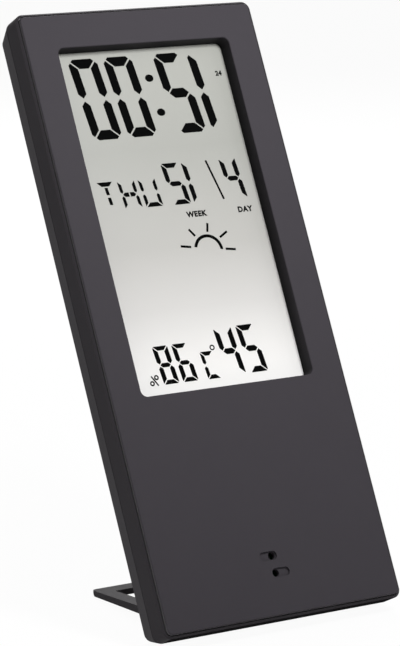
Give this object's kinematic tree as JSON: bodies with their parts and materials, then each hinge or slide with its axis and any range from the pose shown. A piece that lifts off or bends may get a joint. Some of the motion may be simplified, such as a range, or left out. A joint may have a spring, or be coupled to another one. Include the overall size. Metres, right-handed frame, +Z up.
{
  "type": "thermometer hygrometer clock",
  "caption": "Slim upright desk weather clock: a dark slab with a tall recessed display, two small sensor vents and a flat fold-out stand leg behind.",
  "frame": {"origin": "on the table, under the centre of the whole object's box", "axes": "+X across the face to a viewer's right, +Y away from the viewer, +Z up; the face looks towards -Y and leans back"},
  "size_m": [0.0606, 0.0718, 0.1284],
  "materials": {
    "panel_plastic": "fine matte texture, anthracite",
    "case_plastic": "fine matte texture, near black",
    "leg_plastic": "satin, near black",
    "button_plastic": "satin, dark grey",
    "display_film": "satin film, pale grey-green",
    "display_ink": "dark display segments",
    "display_glass": "clear",
    "reflector_film": "satin",
    "holder_plastic": "matte, natural white",
    "contact_rubber": "matte",
    "board_laminate": "gloss green lacquer",
    "resin": "gloss black",
    "ceramic": "matte tan",
    "steel": "bright plated",
    "screw_steel": "blackened"
  },
  "bodies": {
    "housing": {"front_panel": "panel_plastic", "front_case": "case_plastic", "rear_cover": "case_plastic", "display_polarizer": "display_film", "lcd_front_glass": "display_glass", "lcd_rear_glass": "display_glass", "display_reflector": "reflector_film", "display_holder": "holder_plastic", "contact_strip": "contact_rubber", "main_board": "board_laminate", "controller_chip": "resin", "clock_crystal": "steel", "board_capacitors": "ceramic", "sensor_board": "board_laminate", "humidity_sensor": "holder_plastic", "temperature_sensor": "resin", "sensor_pins": "steel", "coin_cell": "steel", "battery_spring": "steel", "battery_clip": "steel", "tact_switches": "resin", "housing_screws": "screw_steel", "board_screws": "screw_steel"},
    "leg": {"stand_leg": "leg_plastic"},
    "door": {"battery_door": "case_plastic"},
    "mode_key": {"mode_button": "button_plastic", "mode_plunger": "holder_plastic"},
    "up_key": {"up_button": "button_plastic", "up_plunger": "holder_plastic"},
    "down_key": {"down_button": "button_plastic", "down_plunger": "holder_plastic"},
    "unit_key": {"unit_button": "button_plastic", "unit_plunger": "holder_plastic"}
  },
  "joints": [
    {"name": "leg_fold", "type": "hinge", "parent": "housing", "child": "leg", "pos_m": [0, -0.02548, 0.00305], "axis": [1, 0, 0], "range_deg": [0, 67.2]},
    {"name": "door_turn", "type": "hinge", "parent": "housing", "child": "door", "pos_m": [0, -0.01664, 0.01819], "axis": [0, 0.8934, -0.4493], "range_deg": [0, 40]},
    {"name": "mode_press", "type": "slide", "parent": "housing", "child": "mode_key", "axis": [0, -0.8934, 0.4493], "range_m": [0, 0.0003], "stiffness_N_per_m": 600},
    {"name": "up_press", "type": "slide", "parent": "housing", "child": "up_key", "axis": [0, -0.8934, 0.4493], "range_m": [0, 0.0003], "stiffness_N_per_m": 600},
    {"name": "down_press", "type": "slide", "parent": "housing", "child": "down_key", "axis": [0, -0.8934, 0.4493], "range_m": [0, 0.0003], "stiffness_N_per_m": 600},
    {"name": "unit_press", "type": "slide", "parent": "housing", "child": "unit_key", "axis": [0, -0.8934, 0.4493], "range_m": [0, 0.0003], "stiffness_N_per_m": 600}
  ]
}
